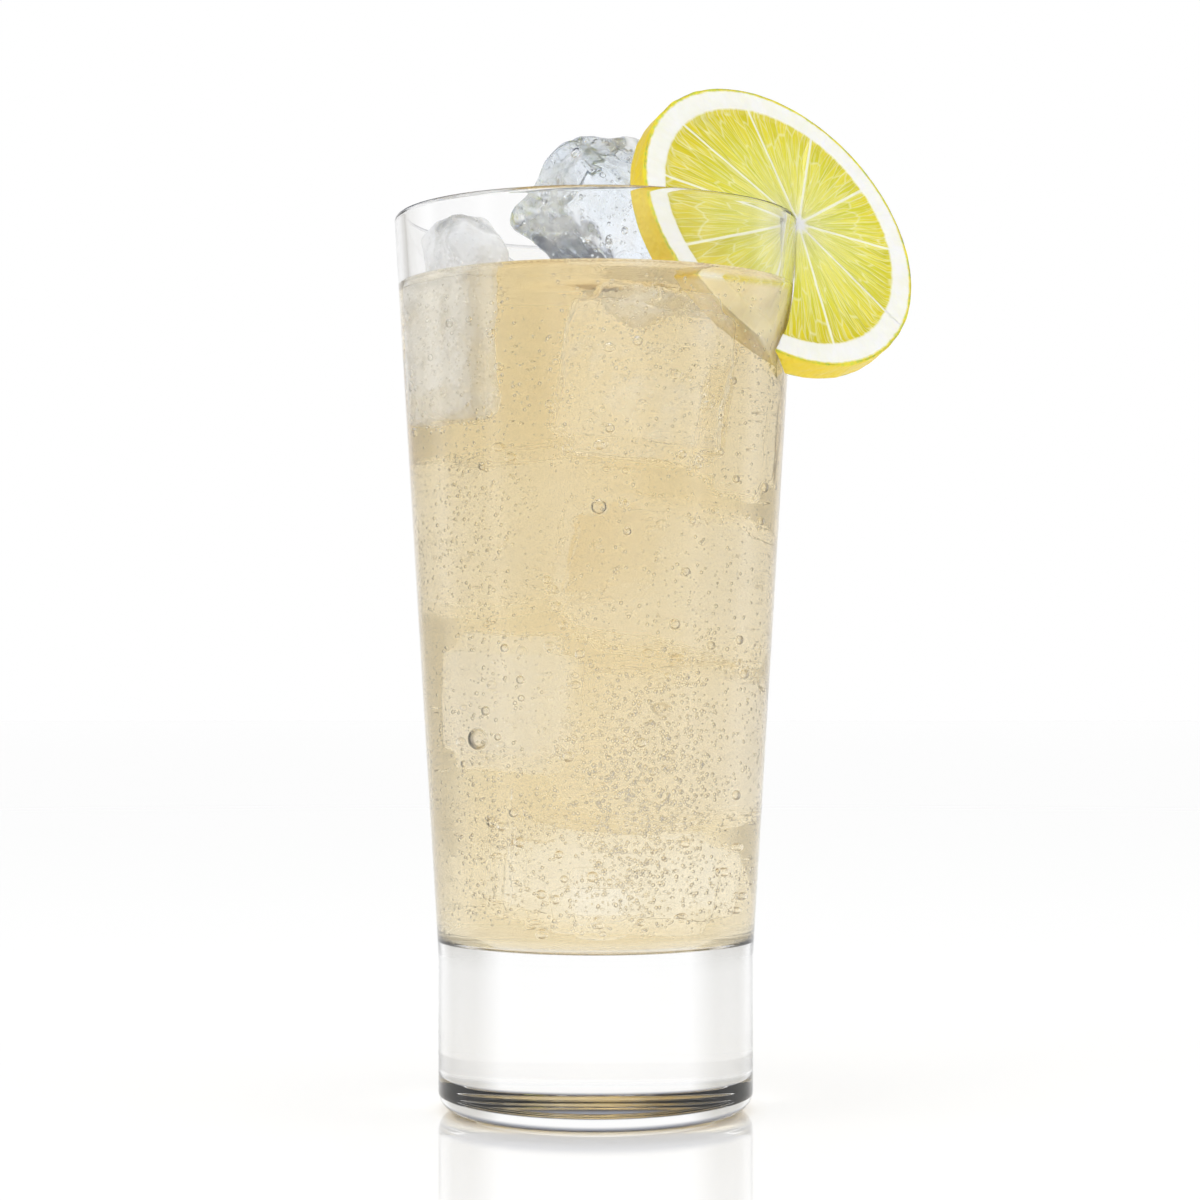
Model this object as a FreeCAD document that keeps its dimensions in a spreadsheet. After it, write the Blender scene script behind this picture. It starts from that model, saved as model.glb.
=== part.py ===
"""A tall iced drink in a heavy-based tumbler, with a lemon wheel hung on its rim.

Millimetres, +Z up. The origin is the middle of the face that the tumbler stands on, and Z is the
tumbler's axis. The viewer stands at -Y, and the lemon wheel hangs at +X. The pieces are the
tumbler, the drink, three lumps of ice that stand out of the drink, and the lemon wheel.
"""

import FreeCAD
import Part
import Sketcher
import os
import re
from FreeCAD import Vector

# One row for each driving size: its name, its value and what it measures. Lengths in mm, angles in degrees.
GLASS_SIZES = (
    ("glass_height", 155.0, "table to the top of the rim"),
    ("rim_radius", 35.2, "outer radius at the rim"),
    ("foot_radius", 27.3, "outer radius of the straight foot"),
    ("foot_height", 26.5, "height at which the side starts to flare"),
    ("rim_wall", 1.9, "wall at the rim"),
    ("low_wall", 2.3, "wall beside the inner floor"),
    ("floor_height", 28.2, "table to the lowest point of the inner floor"),
    ("floor_dish", 1.2, "rise of the inner floor from its middle to the wall"),
    ("floor_corner", 4.5, "radius where the inner floor meets the wall"),
    ("rim_round", 0.8, "fire-polished rounding of both rim edges"),
    ("heel_round", 3.6, "rounding of the heel"),
    ("fill_gap", 12.0, "top of the rim down to the surface of the drink"),
)

LEMON_SIZES = (
    ("wheel_radius", 28.7, "radius of the lemon wheel"),
    ("wheel_thick", 4.6, "thickness of the lemon wheel"),
    ("wheel_edge", 0.6, "rounding of the lemon wheel's two cut edges"),
    ("pith_width", 4.5, "rind and pith together, outside the segments"),
    ("core_along", 1.6, "core off the wheel's middle, along the wheel's own X"),
    ("core_across", 3.9, "core off the wheel's middle, along the wheel's own Y"),
    ("core_radius", 1.6, "white core that the segments end at"),
    ("membrane_width", 0.9, "skin between two segments"),
    ("skin_turn", 10.0, "turn of the first skin from the wheel's own X"),
    ("segment_sink", 0.4, "how far the juicy segments lie below the cut face"),
    ("slit_clearance", 0.3, "gap between the lemon's slit and the glass inside it"),
    ("perch_inset", 3.9, "wheel's middle inside the rim's outer edge, along X"),
    ("perch_back", 1.8, "wheel's middle behind the tumbler's axis, along Y"),
    ("perch_drop", 1.9, "wheel's middle below the top of the rim"),
    ("wheel_yaw", 0.0, "turn of the wheel about Z"),
    ("wheel_pitch", 50.9, "then its turn about its own Y"),
    ("wheel_roll", 47.4, "then its turn about its own X"),
)

# Each lump is a block with a low ridge melted onto its top. Its place is that of its lower front left
# corner, before that is rounded: in from the wall, round from +X, and down from the top of the rim.
ICE_FIELDS = (
    ("width", "left to right"),
    ("depth", "front to back"),
    ("left_height", "height of the left side"),
    ("ridge_height", "height of the ridge"),
    ("ridge_place", "ridge from the left side"),
    ("right_height", "height of the right side"),
    ("inset", "inner wall to the corner"),
    ("bearing", "corner's place round the axis, counted from +X"),
    ("down", "corner below the top of the rim"),
    ("yaw", "turn about Z"),
    ("pitch", "then the turn about its own Y"),
    ("roll", "then the turn about its own X"),
)
ICE_LUMPS = (
    ("top_ice", (31.0, 25.5, 20.0, 20.8, 12.0, 20.0, 13.4, 145.8, -1.4, -19.9, 44.2, 20.1)),
    ("left_ice", (20.0, 8.5, 34.0, 36.5, 11.0, 29.5, 0.0, 185.0, 36.9, -60.0, 0.0, 0.0)),
    ("back_ice", (11.0, 11.0, 14.0, 15.0, 5.0, 13.5, 6.8, 159.0, 19.5, 8.0, 4.0, 0.0)),
)
ICE_SIZES = (
    ("ice_round", 2.4, "melted rounding of the edges of the ice"),
    ("ice_draft", 2.0, "lean of the sides of the ice, left by its mould"),
) + tuple(
    ("%s_%s" % (lump, field), value, meaning)
    for lump, values in ICE_LUMPS
    for (field, meaning), value in zip(ICE_FIELDS, values)
)

SEGMENT_COUNT = 10
FULL_TURN = 360.0

doc = FreeCAD.newDocument("iced_drink")
sheet = doc.addObject("Spreadsheet::Sheet", "sizes")
for row, (alias, value, meaning) in enumerate(GLASS_SIZES + LEMON_SIZES + ICE_SIZES, start=1):
    sheet.set("A%d" % row, alias)
    sheet.set("B%d" % row, str(value))
    sheet.set("C%d" % row, meaning)
    sheet.setAlias("B%d" % row, alias)
doc.recompute()


# Tools for tying geometry to the sheet.

def present(text):
    """What an expression comes to with the sheet's present sizes."""
    return float(sheet.evalExpression(text))


def bind(thing, field, text):
    """Tie a property to an expression in which each driving size goes by its plain name."""
    thing.setExpression(field, re.sub(r"\b[a-z]+(_[a-z]+)+\b", r"sizes.\g<0>", text))


def place(thing, across, back, up, turns=("0", "0", "0")):
    """Tie a Placement to three lengths, and to turns about Z, its own Y and its own X."""
    spot = "create(<<vector>>; %s; %s; %s)" % (across, back, up)
    turn = "create(<<rotation>>; %s; %s; %s)" % turns
    bind(thing, "Placement", "create(<<placement>>; %s; %s)" % (spot, turn))


def origin_item(body, role):
    """One of a body's own origin planes or axes."""
    return next(item for item in body.Origin.OriginFeatures if item.Role == role)


def add_sketch(body, plane):
    """A sketch on one of the body's own origin planes."""
    sketch = body.newObject("Sketcher::SketchObject", body.Name + "_outline")
    sketch.AttachmentSupport = (origin_item(body, plane), "")
    sketch.MapMode = "FlatFace"
    return sketch


def add_axis_arc(sketch, start, stop):
    """An arc centred on the sketch's vertical axis. Returns the numbers of its start and stop ends."""
    middle = (stop.Length ** 2 - start.Length ** 2) / (2 * (stop.y - start.y))
    centre = Vector(0, middle, 0)
    circle = Part.Circle(centre, Vector(0, 0, 1), (start - centre).Length)
    first = circle.parameter(start)
    last = circle.parameter(stop)
    clockwise = start.sub(centre).cross(stop.sub(centre)).z < 0
    if clockwise:
        first, last = last, first
    arc = sketch.addGeometry(Part.ArcOfCircle(circle, first, last))
    sketch.addConstraint(Sketcher.Constraint("PointOnObject", arc, 3, -2))
    return (2, 1) if clockwise else (1, 2)


def pin(sketch, side, end, across, up):
    """Tie one end of a side to its two expressions. A plain 0 puts it on that axis."""
    for kind, text, axis in (("DistanceX", across, -2), ("DistanceY", up, -1)):
        if text == "0":
            sketch.addConstraint(Sketcher.Constraint("PointOnObject", side, end, axis))
        else:
            rule = Sketcher.Constraint(kind, -1, 1, side, end, present(text))
            bind(sketch, "Constraints[%d]" % sketch.addConstraint(rule), text)


def add_outline(sketch, corners, arcs=()):
    """A closed outline through corners, each a pair of expressions. The sides listed in arcs are
    arcs centred on the vertical axis, and the others are straight.
    """
    points = [Vector(present(across), present(up), 0) for across, up in corners]
    ends = []
    for side, start in enumerate(points):
        stop = points[(side + 1) % len(points)]
        if side in arcs:
            ends.append(add_axis_arc(sketch, start, stop))
        else:
            sketch.addGeometry(Part.LineSegment(start, stop))
            ends.append((1, 2))
    for side, (across, up) in enumerate(corners):
        following = (side + 1) % len(corners)
        joint = Sketcher.Constraint("Coincident", side, ends[side][1], following, ends[following][0])
        sketch.addConstraint(joint)
        pin(sketch, side, ends[side][0], across, up)
    doc.recompute()


def revolve(body, corners, arcs=()):
    """Turn an outline, drawn as radius and height, about the body's Z axis."""
    sketch = add_sketch(body, "XZ_Plane")
    add_outline(sketch, corners, arcs)
    turned = body.newObject("PartDesign::Revolution", body.Name + "_turned")
    turned.Profile = sketch
    turned.ReferenceAxis = (sketch, ["V_Axis"])
    turned.Angle = FULL_TURN
    doc.recompute()
    return turned


def round_rings(body, base, name, radius, rings):
    """Fillet the ring edges that lie at the given pairs of radius and height."""
    wanted = []
    for number, edge in enumerate(base.Shape.Edges, start=1):
        curve = None if edge.Degenerated else edge.Curve
        if not isinstance(curve, Part.Circle):
            continue
        for ring_radius, ring_height in rings:
            gap = abs(curve.Radius - present(ring_radius)) + abs(curve.Center.z - present(ring_height))
            if gap < 0.01:
                wanted.append("Edge%d" % number)
    if len(wanted) != len(rings):
        raise ValueError("%s: found %d of %d ring edges" % (name, len(wanted), len(rings)))
    fillet = body.newObject("PartDesign::Fillet", body.Name + "_" + name)
    fillet.Base = (base, wanted)
    bind(fillet, "Radius", radius)
    doc.recompute()
    return fillet


def cut(name, base, tool):
    """A Part::Cut of two objects."""
    result = doc.addObject("Part::Cut", name)
    result.Base = base
    result.Tool = tool
    return result


def fuse(name, things):
    """A Part::MultiFuse of several objects."""
    result = doc.addObject("Part::MultiFuse", name)
    result.Shapes = things
    return result


# The tumbler: pressed glass with a deep solid foot, and a straight side that flares to the rim.

FLOOR_EDGE = ("foot_radius - low_wall", "floor_height + floor_dish")
INNER_RIM = ("rim_radius - rim_wall", "glass_height")


def inner_radius(height):
    """The tumbler's inner radius at a height, as an expression."""
    spread = "(rim_radius - rim_wall - foot_radius + low_wall)"
    share = "(%s - floor_height - floor_dish) / (glass_height - floor_height - floor_dish)" % height
    return "(foot_radius - low_wall + %s * %s)" % (spread, share)


def make_glass():
    body = doc.addObject("PartDesign::Body", "glass")
    corners = (
        ("0", "0"),
        ("foot_radius", "0"),
        ("foot_radius", "foot_height"),
        ("rim_radius", "glass_height"),
        INNER_RIM,
        FLOOR_EDGE,
        ("0", "floor_height"),
    )
    turned = revolve(body, corners, arcs=(5,))
    heel = round_rings(body, turned, "heel", "heel_round", (("foot_radius", "0"),))
    corner = round_rings(body, heel, "floor_corner", "floor_corner", (FLOOR_EDGE,))
    rims = (("rim_radius", "glass_height"), INNER_RIM)
    round_rings(body, corner, "rim", "rim_round", rims)
    return body


# The ice: lumps from a tray, their edges melted round.

def make_ice_lump(name):
    body = doc.addObject("PartDesign::Body", name)
    sketch = add_sketch(body, "XZ_Plane")
    corners = (
        ("0", "0"),
        (name + "_width", "0"),
        (name + "_width", name + "_right_height"),
        (name + "_ridge_place", name + "_ridge_height"),
        ("0", name + "_left_height"),
    )
    add_outline(sketch, corners)
    block = body.newObject("PartDesign::Pad", name + "_block")
    block.Profile = sketch
    block.Reversed = True
    bind(block, "Length", name + "_depth")
    bind(block, "TaperAngle", "-ice_draft")
    doc.recompute()
    melt = body.newObject("PartDesign::Fillet", name + "_melt")
    melt.Base = (block, ["Face1"])
    melt.UseAllEdges = True
    bind(melt, "Radius", "ice_round")
    height = "(glass_height - %s_down)" % name
    reach = "(%s - %s_inset)" % (inner_radius(height), name)
    place(
        body,
        "%s * cos(%s_bearing)" % (reach, name),
        "%s * sin(%s_bearing)" % (reach, name),
        height,
        tuple("%s_%s" % (name, turn) for turn in ("yaw", "pitch", "roll")),
    )
    doc.recompute()
    return body


# The lemon wheel: one slice, cut to its core so that it slips over the rim.

def make_wheel_disc():
    """The bare slice, its middle at the origin and its cut faces level."""
    body = doc.addObject("PartDesign::Body", "wheel_disc")
    sketch = add_sketch(body, "XY_Plane")
    circle = sketch.addGeometry(Part.Circle(Vector(0, 0, 0), Vector(0, 0, 1), present("wheel_radius")))
    sketch.addConstraint(Sketcher.Constraint("Coincident", circle, 3, -1, 1))
    rule = sketch.addConstraint(Sketcher.Constraint("Radius", circle, present("wheel_radius")))
    bind(sketch, "Constraints[%d]" % rule, "wheel_radius")
    slab = body.newObject("PartDesign::Pad", "wheel_slab")
    slab.Profile = sketch
    slab.Midplane = True
    bind(slab, "Length", "wheel_thick")
    doc.recompute()
    edges = body.newObject("PartDesign::Fillet", "wheel_edges")
    edges.Base = (slab, ["Face1"])
    edges.UseAllEdges = True
    bind(edges, "Radius", "wheel_edge")
    doc.recompute()
    return body


def make_segment_hollows():
    """Two shallow discs, one at each cut face, without the core and the skins between segments."""
    discs = []
    for face, low in (("upper", "wheel_thick / 2 - segment_sink"), ("lower", "-wheel_thick / 2 - 1")):
        disc = doc.addObject("Part::Cylinder", face + "_hollow")
        bind(disc, "Radius", "wheel_radius - pith_width")
        bind(disc, "Height", "segment_sink + 1")
        place(disc, "0", "0", low)
        discs.append(disc)
    core = doc.addObject("Part::Cylinder", "core")
    bind(core, "Radius", "core_radius")
    bind(core, "Height", "wheel_thick + 4")
    place(core, "core_along", "core_across", "-wheel_thick / 2 - 2")
    skins = [core]
    for number in range(SEGMENT_COUNT):
        skin = doc.addObject("Part::Box", "skin_%d" % (number + 1))
        bind(skin, "Length", "2 * wheel_radius")
        bind(skin, "Width", "membrane_width")
        bind(skin, "Height", "wheel_thick + 4")
        turn = "skin_turn + %g" % (FULL_TURN * number / SEGMENT_COUNT)
        place(
            skin,
            "core_along + membrane_width / 2 * sin(%s)" % turn,
            "core_across - membrane_width / 2 * cos(%s)" % turn,
            "-wheel_thick / 2 - 2",
            (turn, "0", "0"),
        )
        skins.append(skin)
    return cut("segment_hollows", fuse("hollow_discs", discs), fuse("core_and_skins", skins))


def make_slit():
    """The tumbler's wall and rim, grown by the clearance: what the slit leaves room for."""
    body = doc.addObject("PartDesign::Body", "slit")
    inner = "rim_radius - rim_wall - slit_clearance"
    outer = "rim_radius + slit_clearance"
    corners = (
        ("foot_radius - low_wall - slit_clearance", "floor_height + floor_dish"),
        ("foot_radius + slit_clearance", "foot_height"),
        (outer, "glass_height"),
        (outer, "glass_height + slit_clearance"),
        (inner, "glass_height + slit_clearance"),
        (inner, "glass_height"),
    )
    revolve(body, corners)
    return body


def make_lemon_wheel():
    wheel = cut("whole_wheel", make_wheel_disc(), make_segment_hollows())
    place(
        wheel,
        "rim_radius - perch_inset",
        "perch_back",
        "glass_height - perch_drop",
        ("wheel_yaw", "wheel_pitch", "wheel_roll"),
    )
    return cut("lemon_wheel", wheel, make_slit())


# The drink: everything inside the tumbler up to the surface, less the ice and the lemon.

def make_drink(sunk):
    body = doc.addObject("PartDesign::Body", "fill")
    surface = "(glass_height - fill_gap)"
    corners = (
        ("0", "floor_height"),
        FLOOR_EDGE,
        (inner_radius(surface), surface),
        ("0", surface),
    )
    turned = revolve(body, corners, arcs=(0,))
    round_rings(body, turned, "floor_corner", "floor_corner", (FLOOR_EDGE,))
    return cut("drink", body, fuse("sunk_pieces", sunk))


glass = make_glass()
ice = [make_ice_lump(name) for name, values in ICE_LUMPS]
lemon_wheel = make_lemon_wheel()
drink = make_drink(ice + [lemon_wheel])
pieces = [glass, drink, lemon_wheel] + ice
doc.recompute()

for thing in doc.Objects:
    if "Invalid" in thing.State or "Error" in thing.State:
        raise ValueError("%s doesn't build" % thing.Label)

os.makedirs("parts", exist_ok=True)
for piece in pieces:
    if piece.Shape.isNull() or not piece.Shape.isValid() or len(piece.Shape.Solids) != 1:
        raise ValueError("%s is not one valid solid" % piece.Label)
    piece.Shape.exportStep("parts/%s.step" % piece.Label)
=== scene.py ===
"""Dresses the packed iced drink: its tumbler, drink, ice, bubbles, haze and lemon wheel."""

import math
import random

import bmesh
import bpy
from mathutils import Matrix, Vector, noise
from mathutils.bvhtree import BVHTree
from mathutils.geometry import delaunay_2d_cdt


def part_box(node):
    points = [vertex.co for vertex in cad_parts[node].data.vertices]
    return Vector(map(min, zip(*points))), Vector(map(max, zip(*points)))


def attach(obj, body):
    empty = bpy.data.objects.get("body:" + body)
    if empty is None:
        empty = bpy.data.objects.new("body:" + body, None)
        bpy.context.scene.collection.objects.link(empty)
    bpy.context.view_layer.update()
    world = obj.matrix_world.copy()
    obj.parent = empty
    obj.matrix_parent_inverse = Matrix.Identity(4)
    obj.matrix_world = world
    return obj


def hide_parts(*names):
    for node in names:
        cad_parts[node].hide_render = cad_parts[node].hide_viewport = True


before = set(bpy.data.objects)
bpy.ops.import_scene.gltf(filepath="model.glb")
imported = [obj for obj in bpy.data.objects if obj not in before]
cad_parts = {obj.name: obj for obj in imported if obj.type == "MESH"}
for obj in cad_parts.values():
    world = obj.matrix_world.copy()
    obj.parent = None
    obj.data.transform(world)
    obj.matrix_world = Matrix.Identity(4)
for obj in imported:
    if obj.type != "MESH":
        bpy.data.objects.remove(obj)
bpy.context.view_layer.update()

MM = 0.001


# ---------------------------------------------------------------------------------------------
# The view. A long lens looks at the middle of the tumbler from its own height, so that the near
# rim arches up and the foot arches down. Light may pass many walls of glass, ice and bubbles.

glass_low, glass_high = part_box("glass")
glass_height = glass_high[2] - glass_low[2]
eye_distance = 3.037 * glass_height
eye_height = 0.5026 * glass_height
look_up = math.radians(1.27)
look_right = math.radians(0.09)
camera_data = bpy.data.cameras.new("camera")
camera_data.sensor_width = 36.0
camera_data.lens = 81.0
camera_data.clip_start = 0.01
camera = bpy.data.objects.new("camera", camera_data)
bpy.context.scene.collection.objects.link(camera)
camera.location = (0.0, -eye_distance, eye_height)
camera.rotation_euler = (math.radians(90.0) + look_up, 0.0, -look_right)
bpy.context.scene.camera = camera
bpy.context.scene.view_settings.view_transform = "Standard"
bpy.context.scene.cycles.max_bounces = 44
bpy.context.scene.cycles.diffuse_bounces = 20
bpy.context.scene.cycles.transmission_bounces = 36
bpy.context.scene.cycles.volume_bounces = 12
bpy.context.scene.cycles.blur_glossy = 0.0
bpy.context.scene.cycles.transparent_max_bounces = 96


# ---------------------------------------------------------------------------------------------
# The studio. Bright walls run all round the object, with grey cards in the corners and a dark ceiling,
# and two black flags draw the dark edges of the glass. The table is a sheet of white glossy plastic.

def node_maker(tree):
    """Makes nodes of one tree and links their inputs, given as values or as output sockets. An input goes
    by its name, or by its number after an i.
    """
    def make(kind, settings=None, **inputs):
        node = tree.nodes.new(kind)
        for name, value in (settings or {}).items():
            setattr(node, name, value)
        for name, value in inputs.items():
            numbered = name[0] == "i" and name[1:].isdigit()
            socket = node.inputs[int(name[1:]) if numbered else name.replace("_", " ")]
            if isinstance(value, bpy.types.NodeSocket):
                tree.links.new(value, socket)
            else:
                socket.default_value = value
        return node
    return make


def sums(make, operation, *values):
    """A Math node on one to three values. Returns its output."""
    inputs = {"i%d" % number: value for number, value in enumerate(values)}
    return make("ShaderNodeMath", {"operation": operation}, **inputs).outputs[0]


def blend(make, share, first, second, how="MIX"):
    """A Mix node on two colours. Returns its colour output."""
    settings = {"data_type": "RGBA", "blend_type": how}
    return make("ShaderNodeMix", settings, i0=share, i6=first, i7=second).outputs[2]


def ramp(make, value, stops):
    """A Color Ramp with the given (place, colour) stops, where a bare number is a grey. Returns its colour
    output.
    """
    node = make("ShaderNodeValToRGB", i0=value)
    while len(node.color_ramp.elements) < len(stops):
        node.color_ramp.elements.new(0.5)
    for element, (place, colour) in zip(node.color_ramp.elements, stops):
        element.position = place
        element.color = (*colour, 1.0) if isinstance(colour, tuple) else (colour, colour, colour, 1.0)
    return node.outputs["Color"]


plain_white = (1.0, 1.0, 1.0, 1.0)
soft_grey = (0.89, 0.89, 0.89, 1.0)
most_clear_turns = 6.5
least_scatter = 1.5
world = bpy.data.worlds.new("studio")
bpy.context.scene.world = world
world.use_nodes = True
world.node_tree.nodes.clear()
make = node_maker(world.node_tree)
axes = make("ShaderNodeSeparateXYZ", Vector=make("ShaderNodeTexCoord").outputs["Generated"]).outputs
half_height = sums(make, "MULTIPLY_ADD", axes["Z"], 0.5, 0.5)
walls = ramp(make, half_height, (
    (0.0, 0.92),
    (0.61, 1.0),
    (0.69, (0.34, 0.36, 0.42)),
    (0.77, (0.05, 0.056, 0.08)),
    (1.0, (0.012, 0.014, 0.03)),
))
cornerward = sums(make, "ABSOLUTE", sums(make, "MULTIPLY", axes["X"], axes["Y"]))
cards = ramp(make, cornerward, ((0.38, 1.0), (0.47, (0.66, 0.65, 0.62))))
sideways = sums(make, "ABSOLUTE", axes["X"])
flags = ramp(make, sideways, ((0.93, 1.0), (0.975, (0.08, 0.08, 0.09))))
path = make("ShaderNodeLightPath").outputs
through_glass = sums(make, "GREATER_THAN", path["Transmission Depth"], 0.5)
room = blend(make, 1.0, walls, cards, "MULTIPLY")
room = blend(make, through_glass, room, flags, "MULTIPLY")
clear_turns = sums(make, "ADD", path["Glossy Depth"], path["Transmission Depth"])
other_turns = sums(make, "SUBTRACT", path["Ray Depth"], clear_turns)
clear_path = sums(make, "LESS_THAN", other_turns, least_scatter)
clear_ray = sums(make, "MAXIMUM", path["Is Glossy Ray"], path["Is Transmission Ray"])
sees_room = sums(make, "MULTIPLY", clear_ray, clear_path)
lit = blend(make, sees_room, soft_grey, room)
lost_in_glass = sums(make, "GREATER_THAN", clear_turns, most_clear_turns)
sees_white = sums(make, "MAXIMUM", path["Is Camera Ray"], lost_in_glass)
backdrop = blend(make, sees_white, lit, plain_white)
background = make("ShaderNodeBackground", Color=backdrop, Strength=1.0)
make("ShaderNodeOutputWorld", Surface=background.outputs[0])

table_half = 3.0
table_drop = 0.02 * MM
table_corners = ((-1.0, -1.0), (1.0, -1.0), (1.0, 1.0), (-1.0, 1.0))
table_mesh = bpy.data.meshes.new("table")
table_mesh.from_pydata([(x * table_half, y * table_half, 0.0) for x, y in table_corners], [], [(0, 1, 2, 3)])
table = bpy.data.objects.new("table", table_mesh)
bpy.context.scene.collection.objects.link(table)
table.location.z = glass_low[2] - table_drop
table_finish = bpy.data.materials.new("white_plastic")
table_finish.use_nodes = True
table_finish.node_tree.nodes.clear()
make = node_maker(table_finish.node_tree)
matt = make("ShaderNodeBsdfDiffuse", Color=(0.97, 0.97, 0.97, 1.0))
polish = make("ShaderNodeBsdfGlossy", Color=plain_white, Roughness=0.03)
shine = make("ShaderNodeFresnel", IOR=1.7)
plastic = make("ShaderNodeMixShader", i0=shine.outputs[0], i1=matt.outputs[0], i2=polish.outputs[0])
glow = make("ShaderNodeEmission", Color=plain_white, Strength=0.015)
lit_plastic = make("ShaderNodeAddShader", i0=plastic.outputs[0], i1=glow.outputs[0])
make("ShaderNodeOutputMaterial", Surface=lit_plastic.outputs[0])
table_mesh.materials.append(table_finish)

softboxes = (
    ("left_softbox", (-0.55, -0.35, 0.6), 0.5, 0.6),
    ("right_softbox", (0.6, -0.2, 0.5), 0.4, 0.4),
    ("top_softbox", (0.0, -0.05, 0.9), 0.3, 0.7),
)
lamp_aim = Vector((0.0, 0.0, 0.1))
for name, place, width, power in softboxes:
    lamp_data = bpy.data.lights.new(name, "AREA")
    lamp_data.size = width
    lamp_data.energy = power
    lamp = bpy.data.objects.new(name, lamp_data)
    bpy.context.scene.collection.objects.link(lamp)
    lamp.location = place
    lamp.rotation_euler = (lamp_aim - Vector(place)).to_track_quat("-Z", "Y").to_euler()


# ---------------------------------------------------------------------------------------------
# The tumbler. Clear soda glass, pressed in a mould with a deep solid foot, its rim then melted
# round in a flame.

rim_radius = (glass_high[0] - glass_low[0]) / 2
foot_radius = 27.3 * MM
foot_height = 26.5 * MM
rim_wall = 1.9 * MM
low_wall = 2.3 * MM
floor_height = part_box("drink")[0][2]
floor_dish = 1.2 * MM
floor_corner = 2.2 * MM
rim_round = 0.94 * MM
heel_round = 3.6 * MM
waist_round = 30.0 * MM
line_step = 2.5 * MM
turn_count = 224
hair = 1e-7
surface_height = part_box("drink")[1][2]


def inner_radius(height):
    """The inside radius at a height, from the edge of the inner floor to the rim."""
    start = floor_height + floor_dish
    share = (height - start) / (glass_height - start)
    return foot_radius - low_wall + share * (rim_radius - rim_wall - foot_radius + low_wall)


def outer_radius(height):
    """The outside radius of the flared side at a height."""
    share = (height - foot_height) / (glass_height - foot_height)
    return foot_radius + share * (rim_radius - foot_radius)


def rounded(corners, rounds, step):
    """A line of (radius, height) points through corners, with each corner rounded by its own radius and
    the straight runs divided into steps, with one short step at each end of a long run.
    """
    arc_step = math.radians(7)
    short_step = 0.12 * MM
    line = [Vector(corners[0])]
    for before, corner, after, radius in zip(corners, corners[1:], corners[2:], rounds):
        back = (Vector(before) - Vector(corner)).normalized()
        ahead = (Vector(after) - Vector(corner)).normalized()
        half = back.angle(ahead) / 2
        middle = Vector(corner) + (back + ahead).normalized() * radius / math.sin(half)
        first = Vector(corner) + back * radius / math.tan(half) - middle
        last = Vector(corner) + ahead * radius / math.tan(half) - middle
        sweep = first.angle_signed(last)
        count = max(3, math.ceil(abs(sweep) / arc_step))
        for number in range(count + 1):
            turn = -sweep * number / count
            line.append(middle + Matrix.Rotation(turn, 2) @ first)
    line.append(Vector(corners[-1]))
    dense = [line[0]]
    for start, stop in zip(line, line[1:]):
        length = (stop - start).length
        cuts = max(1, math.ceil(length / step))
        ease = min(short_step, length / 4)
        shares = [number / cuts for number in range(1, cuts + 1)]
        if length > step:
            shares = [ease / length] + shares[:-1] + [1 - ease / length, 1.0]
        dense += [start.lerp(stop, share) for share in shares]
    return dense


def lathe(name, line, segments):
    """Turns a line of (radius, height) points round Z. Points on the axis become single poles."""
    form = bmesh.new()
    rows = []
    for radius, height in line:
        if radius < hair:
            rows.append([form.verts.new((0.0, 0.0, height))])
            continue
        rows.append([
            form.verts.new((radius * math.cos(2 * math.pi * k / segments),
                            radius * math.sin(2 * math.pi * k / segments), height))
            for k in range(segments)])
    for low, high in zip(rows, rows[1:]):
        for k in range(segments):
            after = (k + 1) % segments
            ring = [low[k % len(low)], low[after % len(low)], high[after % len(high)], high[k % len(high)]]
            ring = [vertex for index, vertex in enumerate(ring) if vertex not in ring[:index]]
            form.faces.new(ring)
    mesh = bpy.data.meshes.new(name)
    form.to_mesh(mesh)
    form.free()
    mesh.shade_smooth()
    return mesh


def add_piece(name, mesh, finish, slot, *nodes):
    """Links a finished mesh as a piece that rides on the object, and stands for the given CAD nodes."""
    piece = bpy.data.objects.new(name, mesh)
    bpy.context.scene.collection.objects.link(piece)
    mesh.materials.append(finish)
    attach(piece, "root")
    if nodes:
        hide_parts(*nodes)
    return piece


def new_finish(name):
    """An empty node material. Returns it and the maker of its nodes."""
    finish = bpy.data.materials.new(name)
    finish.use_nodes = True
    finish.node_tree.nodes.clear()
    return finish, node_maker(finish.node_tree)


wall_line = rounded(
    [(0.0, 0.0), (foot_radius, 0.0), (foot_radius, foot_height), (rim_radius, glass_height),
     (rim_radius - rim_wall, glass_height), (foot_radius - low_wall, floor_height + floor_dish),
     (0.0, floor_height)],
    [heel_round, waist_round, rim_round, rim_round, floor_corner], line_step)
glass_finish, make = new_finish("clear_glass")
place = make("ShaderNodeTexCoord").outputs["Object"]
ripple = make("ShaderNodeTexNoise", Vector=place, Scale=38.0, Detail=1.0)
relief = make("ShaderNodeBump", Height=ripple.outputs["Fac"], Strength=0.12, Distance=0.0002)
clear = make("ShaderNodeBsdfGlass", Color=plain_white, IOR=1.5, Roughness=0.0, Normal=relief.outputs[0])
make("ShaderNodeOutputMaterial", Surface=clear.outputs[0])
add_piece("tumbler", lathe("tumbler", wall_line, turn_count), glass_finish, "clear_glass", "glass")


# ---------------------------------------------------------------------------------------------
# The ice that stands out of the drink. Lumps from a tray, melted round and uneven, cloudy with trapped
# air and frosted in patches. Each has one finish above the level of the drink and one below it.

level_drop = 0.6 * MM
level = surface_height - level_drop
standing_cell = 0.5 * MM
standing_swell = 0.6 * MM
standing_scallop = 1.3 * MM
wide_wave = 0.09
fine_wave = 0.33
fine_share = 0.35
scallop_wave = 0.13
scallop_middle = 0.35
at_level = 1e-6


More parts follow.
